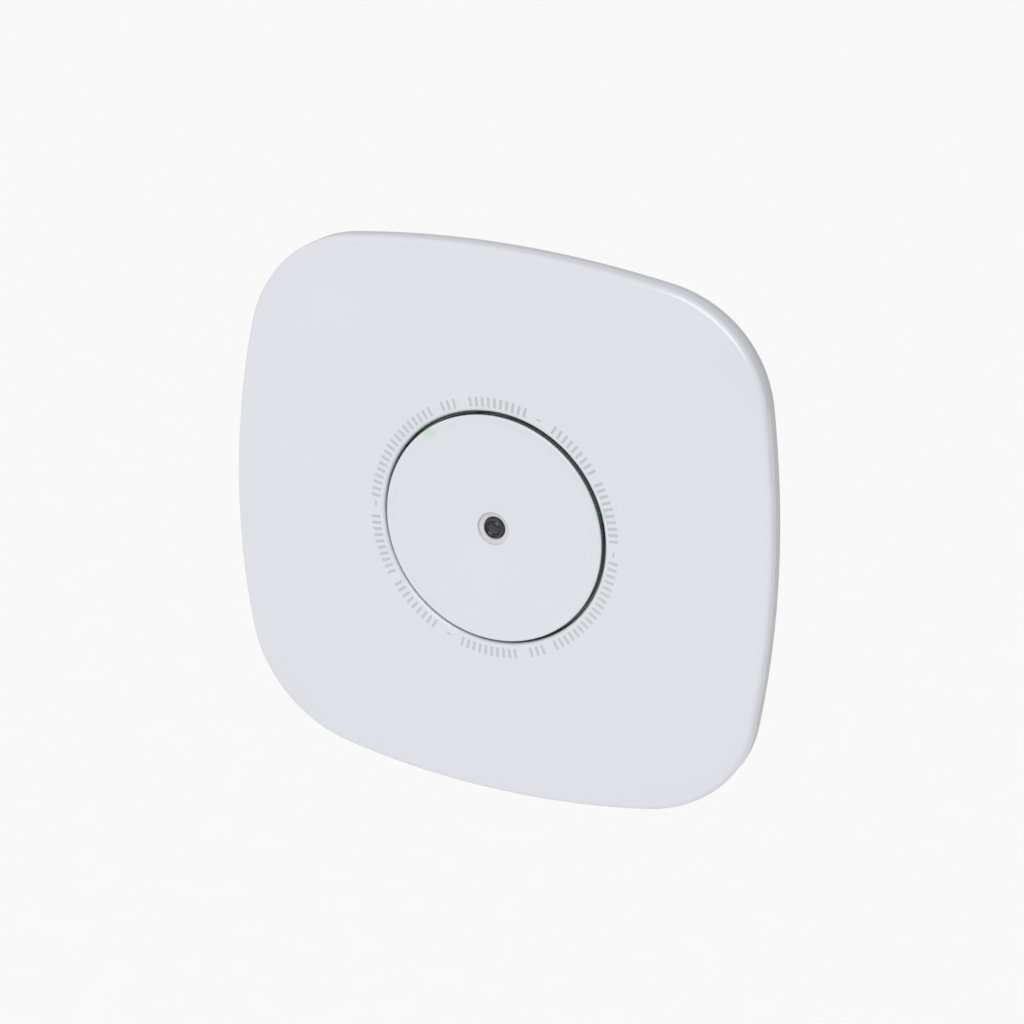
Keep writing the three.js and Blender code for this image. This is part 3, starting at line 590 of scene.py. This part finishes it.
def mounting_bracket():
    radius, thickness, rounding = PLATE["radius"], PLATE["thickness"], PLATE["round"]
    profile = filleted([(20, 0, 0), (radius, 0, rounding), (radius, thickness, 0.3), (20, thickness, 0)],
                       closed=False)
    bracket = new_piece("bracket", *lathe(profile, capped=True))
    carve(bracket, [hook(degrees) for degrees in QUARTERS], "UNION")
    cuts = []
    for y in (WINDOW["y"], -WINDOW["y"]):
        cuts.append(through_cut(
            lambda grow, y=y: slot_outline(WINDOW["length"], WINDOW["width"], 0, y, grow)))
    for degrees in (0, 180):
        cuts += screw_slot(degrees)
    count = POCKET["count"]
    for step in range(count):
        middle = (step + 0.5) * 360 / count
        half = 180 / count - math.degrees(POCKET["rib"] / 2 / POCKET["inside"])
        layers = []
        for z, grow in ((-1, 0.25), (0, 0.25), (0.25, 0), (POCKET["depth"], 0)):
            layers.append((sector_outline(POCKET["inside"], POCKET["outside"],
                                          middle - half, middle + half, grow, corner=0.8), z))
        cuts.append(stack(layers))
    carve(bracket, cuts)
    return bracket


def screw_slot(degrees):
    """A curved slot with a round entry that a screw head passes through at one end."""
    middle, width = SCREW_SLOT["circle"], SCREW_SLOT["width"]
    start, finish = degrees - SCREW_SLOT["half"], degrees + SCREW_SLOT["head_angle"]
    head = on_circle(middle, finish)
    end = on_circle(middle, start)
    return [
        through_cut(lambda grow: sector_outline(middle - width / 2, middle + width / 2, start, finish, grow)),
        through_cut(lambda grow: disc_outline(SCREW_SLOT["head"] / 2, *head, grow)),
        through_cut(lambda grow: disc_outline(width / 2, *end, grow)),
    ]


# ---- Test button ----
# The lip is 0.7 mm wider here than in the CAD, and the ledge in the lens hole is only here.
DISH = {"face": FRONT + 0.15, "inside": 27.8, "crest": 29.6, "outside": 30.1, "under": FRONT - 0.15}
SKIRT = {"inside": 26.0, "outside": 27.2, "bottom": 34.4}
LEG = {"half": 10, "toe": 28.4, "toe_height": 1.2}
LENS_HOLE = 4.3
LENS_BOSS = {"radius": 5.3, "bottom": 35.1, "bore": 2.95, "ledge": FRONT - 0.9}
UNDER = FRONT - 1


def button_cap():
    profile = filleted([
        (LENS_BOSS["bore"], LENS_BOSS["bottom"], 0.1), (LENS_BOSS["bore"], LENS_BOSS["ledge"], 0.1),
        (LENS_HOLE, LENS_BOSS["ledge"], 0.15), (LENS_HOLE, DISH["face"], 0.3),
        (DISH["inside"], DISH["face"], 1.2),
        (DISH["crest"], BUTTON_RIM, 0.5), (DISH["outside"], BUTTON_RIM - 0.08, 0.45),
        (DISH["outside"], DISH["under"], 0.12), (SKIRT["outside"], DISH["under"], 0.1),
        (SKIRT["outside"], SKIRT["bottom"], 0.15), (SKIRT["inside"], SKIRT["bottom"], 0.15),
        (SKIRT["inside"], UNDER, 0.4), (LENS_BOSS["radius"], UNDER, 0.3),
        (LENS_BOSS["radius"], LENS_BOSS["bottom"], 0.1),
    ])
    cap = new_piece("button", *lathe(profile))
    foot = CAP_LOW.z
    leg = filleted([
        (SKIRT["inside"], SKIRT["bottom"] + 0.5, 0), (SKIRT["inside"], foot, 0.3),
        (SKIRT["outside"], foot, 0.2),
        (LEG["toe"], foot + 0.7, 0.15), (LEG["toe"], foot + LEG["toe_height"], 0.1),
        (SKIRT["outside"], foot + LEG["toe_height"], 0.2), (SKIRT["outside"], SKIRT["bottom"] + 0.5, 0),
    ])
    carve(cap, [swept(leg, degrees - LEG["half"], degrees + LEG["half"]) for degrees in LEGS], "UNION")
    return cap


RIBS = {"count": 190, "outside": 29.3, "inside": 28.2, "groove": 0.12, "half": 0.24}


def button_grille():
    """The ribbed ring under the button's lip: smoke passes in and sound out between its ribs."""
    outside, inside = RIBS["outside"], RIBS["inside"]
    low, high = CAGE_LOW.z, CAGE_HIGH.z
    rows = [low, low + 0.6, (low + high) / 2, high - 0.3, high]
    angles = around(RIBS["count"])
    half = RIBS["half"] * (2 * math.pi / RIBS["count"])
    edges = np.sort(np.concatenate([angles - half, angles, angles + half]))
    columns = len(edges)
    outer, inner = [], []
    for z in rows:
        crown = np.where(np.arange(columns) % 3 == 1, outside, outside - RIBS["groove"])
        outer.append(np.column_stack([crown * np.cos(edges), crown * np.sin(edges), np.full(columns, z)]))
        inner.append(np.column_stack([inside * np.cos(edges), inside * np.sin(edges), np.full(columns, z)]))
    is_open = np.zeros((len(rows) - 1, columns), bool)
    is_open[1:3, 2::3] = True
    return new_piece("button_ribs", *pierced(np.array(outer), np.array(inner), is_open, floored=False))


BEZEL = {"bore": 2.25, "lip": 2.6, "radius": 2.8, "flange": 0.8}


def lens_bezel():
    bore, radius = BEZEL["bore"], BEZEL["radius"]
    low, high, flange_top = BEZEL_LOW.z, BEZEL_HIGH.z, BEZEL_LOW.z + BEZEL["flange"]
    profile = filleted([
        (bore, low, 0), (BEZEL_HIGH.x, low, 0.1), (BEZEL_HIGH.x, flange_top, 0.1), (radius, flange_top, 0.1),
        (radius, high - 0.3, 0.15), (BEZEL["lip"], high, 0.1), (bore, high, 0.05),
    ])
    return new_piece("lens_barrel", *lathe(profile, SMALL * 2))


def status_lens():
    """A domed lens with a stepped ring round it."""
    radius, top = BEZEL["bore"] - 0.02, LENS_HIGH.z
    step = top - 0.35
    profile = [(radius, LENS_LOW.z), (radius, step), (radius * 0.86, step), (radius * 0.8, step - 0.12),
               (radius * 0.74, step - 0.02)]
    for share in np.linspace(0, 0.97, 14):
        turn = share * math.pi / 2
        profile.append((radius * 0.7 * math.cos(turn), step + 0.33 * math.sin(turn)))
    return new_piece("lens", *lathe(profile, SMALL * 2, capped=True))


GUIDE = {"inside": 29.7, "edge": 0.3, "shoulder": 34.2}
FINGER = {"inside": 25.4, "half": 4, "low": 31.4, "high": 32.8}


def light_guide_ring():
    inside, outside, edge, shoulder = GUIDE["inside"], LIGHT_HIGH.x, GUIDE["edge"], GUIDE["shoulder"]
    low, top = LIGHT_LOW.z, LIGHT_HIGH.z
    profile = filleted([
        (inside, low, 0.1), (outside, low, 0.1), (outside, shoulder, 0.1),
        (outside - edge, shoulder + edge, 0.1),
        (outside - edge, top, 0.15), (inside + edge, top, 0.15), (inside + edge, shoulder + edge, 0.1),
        (inside, shoulder, 0.1),
    ])
    ring = new_piece("light_guide", *lathe(profile))
    fingers = []
    for degrees in LIGHTS:
        start, finish = degrees - FINGER["half"], degrees + FINGER["half"]
        outline = sector_outline(FINGER["inside"], inside + 0.5, start, finish)
        fingers.append(stack([(outline, FINGER["low"]), (outline, FINGER["high"])]))
    carve(ring, fingers, "UNION")
    return ring


# ---- Marks round the button ----
MARK = {"inside": 32.2, "outside": 34.7, "width": 0.7, "pitch": 3.0, "raise": 0.03}
MARK_GROUPS = ((76, 102), (110, 116), (123, 175), (5, 31), (37, 61))  # first and last bar, in degrees
DASH = {"inside": 33.1, "outside": 33.6, "width": 1.3}
DASHES = (69, 179)


def cover_marks():
    """Two half rings of short printed bars in groups, with a dash between the arcs."""
    parts = []
    for turn in (0, 180):
        for first, last in MARK_GROUPS:
            count = round((last - first) / MARK["pitch"]) + 1
            for degrees in np.linspace(first, last, count):
                parts.append(mark(degrees + turn, MARK["inside"], MARK["outside"], MARK["width"]))
        for degrees in DASHES:
            parts.append(mark(degrees + turn, DASH["inside"], DASH["outside"], DASH["width"]))
    return new_piece("printed_marks", *joined(*parts))


def mark(degrees, inside, outside, width):
    """One thin bar that follows the dome of the cover."""
    angle = math.radians(degrees)
    along = Vector((math.cos(angle), math.sin(angle)))
    across = Vector((-along.y, along.x)) * width / 2
    rings = []
    for radius in np.linspace(inside, outside, 4):
        middle = along * radius
        sides = np.array([middle - across, middle + across])
        top = cover_top(sides)
        rings.append([(*sides[0], top[0] - 0.05), (*sides[1], top[1] - 0.05),
                      (*sides[1], top[1] + MARK["raise"]), (*sides[0], top[0] + MARK["raise"])])
    return skin(rings, capped=True)


# ---- Materials ----
def nodes_of(material):
    material.use_nodes = True
    tree = material.node_tree
    return tree, tree.nodes["Principled BSDF"]


def add(tree, kind, inputs=None, **settings):
    """A node with its settings, its inputs set to values or linked from sockets."""
    made = tree.nodes.new(kind)
    for name, value in settings.items():
        setattr(made, name, value)
    for name, value in (inputs or {}).items():
        if isinstance(value, bpy.types.NodeSocket):
            tree.links.new(value, made.inputs[name])
        else:
            made.inputs[name].default_value = value
    return made


def place(tree):
    return add(tree, "ShaderNodeTexCoord").outputs["Object"]


def noise(tree, scale, detail=2.0, roughness=0.5, distortion=0.0):
    inputs = {"Vector": place(tree), "Scale": scale, "Detail": detail, "Roughness": roughness,
              "Distortion": distortion}
    return add(tree, "ShaderNodeTexNoise", inputs).outputs["Fac"]


def mapped(tree, value, low, high, start=0.3, finish=0.7):
    inputs = {"Value": value, "From Min": start, "From Max": finish, "To Min": low, "To Max": high}
    return add(tree, "ShaderNodeMapRange", inputs).outputs["Result"]


def tinted(tree, value, first, second, start=0.35, finish=0.65):
    ramp = add(tree, "ShaderNodeValToRGB", {"Fac": value})
    ramp.color_ramp.elements[0].position = start
    ramp.color_ramp.elements[0].color = (*first, 1)
    ramp.color_ramp.elements[1].position = finish
    ramp.color_ramp.elements[1].color = (*second, 1)
    return ramp.outputs["Color"]


def bumped(tree, shader, height, depth, strength=1.0):
    """Bump so many metres deep."""
    bump = add(tree, "ShaderNodeBump", {"Height": height, "Distance": depth, "Strength": strength})
    tree.links.new(bump.outputs["Normal"], shader.inputs["Normal"])


def plastic(name, colour, roughness, grain, depth, vary=0.012, coat=0.0):
    """Moulded plastic: a fine grain, uneven gloss and a trace of colour variation."""
    material = bpy.data.materials.new(name)
    tree, shader = nodes_of(material)
    second = tuple(channel * (1 - vary) for channel in colour)
    tree.links.new(tinted(tree, noise(tree, 25, 3), colour, second), shader.inputs["Base Color"])
    smudges = noise(tree, 45, 5, 0.6, 0.4)
    tree.links.new(mapped(tree, smudges, roughness * 0.88, roughness * 1.15), shader.inputs["Roughness"])
    bumped(tree, shader, noise(tree, 1 / grain, 2, 0.6), depth)
    shader.inputs["Coat Weight"].default_value = coat
    shader.inputs["Coat Roughness"].default_value = 0.06
    return material


def metal(name, colour, roughness, grain=0.0004):
    material = bpy.data.materials.new(name)
    tree, shader = nodes_of(material)
    second = tuple(channel * 0.86 for channel in colour)
    tree.links.new(tinted(tree, noise(tree, 600, 4), colour, second), shader.inputs["Base Color"])
    shader.inputs["Metallic"].default_value = 1.0
    scratches = noise(tree, 900, 4)
    tree.links.new(mapped(tree, scratches, roughness * 0.75, roughness * 1.3), shader.inputs["Roughness"])
    bumped(tree, shader, noise(tree, 1 / grain, 3), 0.000004)
    return material


# Painted green light on the gloss white: its colour, then each spot's radius, degrees and reach.
PAINTED_GLOW_GREEN = (0.30, 0.66, 0.40)
PAINTED_GLOW_SPOTS = ((31.2, 18, 0.0026), (30.6, 130, 0.0022), (29.0, 129, 0.0024))  # radius, degrees and reach


def paint_green_glow(tree, shader):
    """A faint painted green light in the base colour, where light leaks from the ring under the button's
    edge.
    """
    socket = shader.inputs["Base Color"]
    for radius, degrees, reach in PAINTED_GLOW_SPOTS:
        across, up = on_circle(radius, degrees)
        spot = upright([(across, up, FRONT - 0.2)])[0]
        away = add(tree, "ShaderNodeVectorMath", operation="DISTANCE")
        tree.links.new(place(tree), away.inputs[0])
        away.inputs[1].default_value = tuple(spot)
        share = mapped(tree, away.outputs["Value"], 0.42, 0.0, 0.0003, reach)
        mixer = add(tree, "ShaderNodeMix", data_type="RGBA")
        tree.links.new(share, mixer.inputs[0])
        tree.links.new(socket.links[0].from_socket, mixer.inputs[6])
        mixer.inputs[7].default_value = (*PAINTED_GLOW_GREEN, 1)
        tree.links.new(mixer.outputs[2], socket)


GLOSS_WHITE = (0.655, 0.668, 0.705)
SATIN_WHITE = (0.60, 0.612, 0.64)


def make_materials():
    return {
        "gloss_white": plastic("gloss_white", GLOSS_WHITE, 0.16, 0.0016, 0.0000012, 0.008, coat=0.3),
        "satin_white": plastic("satin_white", SATIN_WHITE, 0.46, 0.00035, 0.000012, 0.02),
        # The ribs are white moulded plastic. Their mid-grey colour here is painted shade for the deep groove
        # round the button.
        "rib_white": plastic("rib_white", (0.30, 0.31, 0.33), 0.4, 0.0004, 0.000008),
        "bezel_grey": plastic("bezel_grey", (0.035, 0.035, 0.04), 0.28, 0.0005, 0.000003, 0.2),
        "lens_black": plastic("lens_black", (0.004, 0.004, 0.005), 0.08, 0.002, 0.000001, 0.3, coat=0.6),
        "black_plastic": plastic("black_plastic", (0.018, 0.018, 0.02), 0.45, 0.0004, 0.00001, 0.25),
        "circuit_board": plastic("circuit_board", (0.012, 0.10, 0.04), 0.32, 0.0012, 0.00001, 0.3),
        "chip_black": plastic("chip_black", (0.02, 0.02, 0.024), 0.5, 0.0003, 0.000008, 0.25),
        "inlet_mesh": metal("inlet_mesh", (0.05, 0.05, 0.055), 0.5),
        "steel": metal("steel", (0.6, 0.61, 0.63), 0.28),
        "brass": metal("brass", (0.72, 0.5, 0.2), 0.3),
        "copper_coil": metal("copper_coil", (0.62, 0.27, 0.13), 0.35),
        "foam": plastic("foam", (0.03, 0.03, 0.034), 0.95, 0.0009, 0.0002, 0.4),
        "cell_wrap": plastic("cell_wrap", (0.05, 0.11, 0.24), 0.3, 0.002, 0.000006, 0.2),
        "label_silver": plastic("label_silver", (0.55, 0.56, 0.57), 0.38, 0.0003, 0.000004, 0.06),
        "light_guide": light_guide("light_guide"),
        "mark_ink": plastic("mark_ink", (0.50, 0.505, 0.52), 0.45, 0.0003, 0.000003, 0.05),
    }


def light_guide(name):
    """Frosted, slightly clear plastic, unlit."""
    material = bpy.data.materials.new(name)
    tree, shader = nodes_of(material)
    frosting = tinted(tree, noise(tree, 700, 3), (0.55, 0.6, 0.57), (0.48, 0.55, 0.5))
    tree.links.new(frosting, shader.inputs["Base Color"])
    tree.links.new(mapped(tree, noise(tree, 300, 3), 0.3, 0.45), shader.inputs["Roughness"])
    shader.inputs["Transmission Weight"].default_value = 0.4
    return material


def assign(piece, material):
    piece.data.materials.clear()
    piece.data.materials.append(material)


# ---- Pieces ----
def attach(piece, body, slot, *replaced):
    assign(piece, MATERIALS[slot])
    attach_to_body(piece, body)
    if replaced:
        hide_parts(*replaced)
    return piece


MATERIALS = make_materials()
# Paints the ring's green light into the gloss white base colour.
paint_green_glow(*nodes_of(MATERIALS["gloss_white"]))
for subpart in frame["record"]["subparts"]:
    assign(frame["nodes"][subpart["node"]], MATERIALS[subpart["material_slot"]])

attach(front_cover(), "alarm", "gloss_white", "front_cover")
attach(rear_housing(), "alarm", "satin_white", "rear_housing")
attach(mounting_bracket(), "bracket", "satin_white", "mounting_bracket")
attach(button_cap(), "test_button", "gloss_white", "button_cap")
attach(button_grille(), "test_button", "rib_white", "button_grille")
attach(lens_bezel(), "test_button", "bezel_grey", "lens_bezel")
attach(status_lens(), "test_button", "lens_black", "status_lens")
attach(light_guide_ring(), "alarm", "light_guide", "light_guide_ring")
attach(cover_marks(), "alarm", "mark_ink")

# ---- Camera, light and floor ----
CAMERA = {"azimuth": 25.93, "elevation": 21.58, "roll": 1.13, "distance": 0.9263, "lens": 128.7,
          "shift": (0.00625, 0.00752)}
CAMERA_TARGET = Vector((0, -0.03045, 0))


def add_camera():
    azimuth, elevation, roll = (math.radians(CAMERA[key]) for key in ("azimuth", "elevation", "roll"))
    back = Vector((math.sin(azimuth) * math.cos(elevation), -math.cos(azimuth) * math.cos(elevation),
                   math.sin(elevation)))
    data = bpy.data.cameras.new("camera")
    data.lens = CAMERA["lens"]
    data.sensor_width = 36
    data.shift_x, data.shift_y = CAMERA["shift"]
    camera = bpy.data.objects.new("camera", data)
    camera.location = CAMERA_TARGET + back * CAMERA["distance"]
    turn = back.to_track_quat("Z", "Y").to_matrix().to_4x4()
    camera.rotation_euler = (turn @ Matrix.Rotation(roll, 4, "Z")).to_euler()
    bpy.context.scene.collection.objects.link(camera)
    bpy.context.scene.camera = camera


STUDIO = {"strength": 0.56, "right": -0.5, "front": 0.1, "up": 0.15}
BACKDROP = 1.1  # brightness of the surroundings as the camera sees them
SUN = {"from": Vector((0.25, -0.75, 0.62)), "strength": 1.54, "spread": 45}


def add_world():
    """White all round, but brighter from the front and above and darker from the right."""
    world = bpy.data.worlds.new("studio")
    world.use_nodes = True
    tree = world.node_tree
    background = tree.nodes["Background"]
    direction = add(tree, "ShaderNodeTexCoord").outputs["Generated"]
    lean = (STUDIO["right"], -STUDIO["front"], STUDIO["up"])
    tilt = add(tree, "ShaderNodeVectorMath", operation="DOT_PRODUCT")
    tree.links.new(direction, tilt.inputs[0])
    tilt.inputs[1].default_value = lean
    light = add(tree, "ShaderNodeMath", operation="ADD")
    tree.links.new(tilt.outputs["Value"], light.inputs[0])
    light.inputs[1].default_value = 1.0
    strength = add(tree, "ShaderNodeMath", operation="MULTIPLY")
    tree.links.new(light.outputs["Value"], strength.inputs[0])
    strength.inputs[1].default_value = STUDIO["strength"]
    seen = add(tree, "ShaderNodeLightPath").outputs["Is Camera Ray"]
    backdrop = add(tree, "ShaderNodeMix", data_type="FLOAT")
    tree.links.new(seen, backdrop.inputs[0])
    tree.links.new(strength.outputs["Value"], backdrop.inputs[2])
    backdrop.inputs[3].default_value = BACKDROP
    background.inputs["Color"].default_value = (1, 1, 1, 1)
    tree.links.new(backdrop.outputs[0], background.inputs["Strength"])
    bpy.context.scene.world = world


def add_sun():
    """A broad soft light from the front and above."""
    data = bpy.data.lights.new("key", "SUN")
    data.energy = SUN["strength"]
    data.angle = math.radians(SUN["spread"])
    key = bpy.data.objects.new("key", data)
    key.rotation_euler = SUN["from"].to_track_quat("Z", "Y").to_euler()
    bpy.context.scene.collection.objects.link(key)


FLOOR = {"half": 6.0, "z": -1.2, "glow": 0.07}


def add_floor():
    """A plain pale floor, with a weak glow of its own."""
    half, z = FLOOR["half"], FLOOR["z"]
    points = [(-half, -half, z), (half, -half, z), (half, half, z), (-half, half, z)]
    mesh = bpy.data.meshes.new("floor")
    mesh.from_pydata(points, [], [(0, 1, 2, 3)])
    floor = bpy.data.objects.new("floor", mesh)
    bpy.context.scene.collection.objects.link(floor)
    paint = plastic("floor_paint", (0.97, 0.97, 0.97), 0.8, 0.002, 0.00001)
    shader = nodes_of(paint)[1]
    shader.inputs["Emission Color"].default_value = (1, 1, 1, 1)
    shader.inputs["Emission Strength"].default_value = FLOOR["glow"]
    assign(floor, paint)


add_camera()
add_world()
add_sun()
add_floor()
bpy.context.scene.view_settings.view_transform = "Standard"
